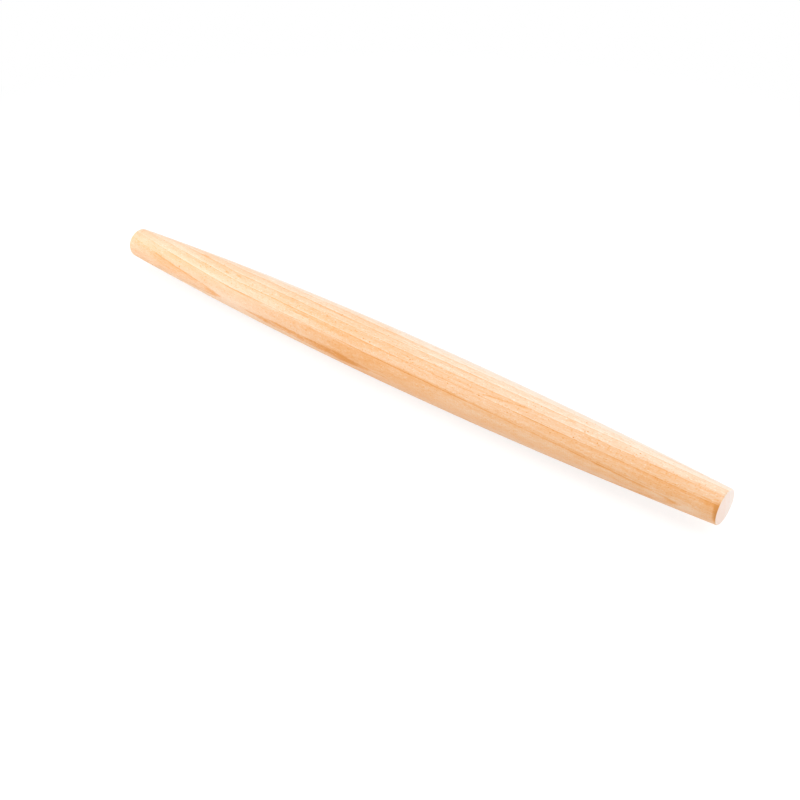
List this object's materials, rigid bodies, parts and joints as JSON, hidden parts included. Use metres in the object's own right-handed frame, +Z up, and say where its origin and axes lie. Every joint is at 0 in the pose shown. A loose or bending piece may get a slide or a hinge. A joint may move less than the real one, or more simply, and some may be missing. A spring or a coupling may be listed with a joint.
{
  "type": "rolling pin",
  "caption": "Tapered one-piece wooden rolling pin with no handles, thickest at the middle, for rolling out dough and pastry.",
  "frame": {"origin": "middle of the pin, on its turning axis", "axes": "+X along the pin's length, +Z up with the pin lying on its side, as on a worktop"},
  "size_m": [0.508, 0.037, 0.037],
  "materials": {
    "beech": "pale steamed beech, fine-sanded, dry satin with no varnish"
  },
  "bodies": {
    "root": {"pin_body": "beech"}
  },
  "joints": []
}
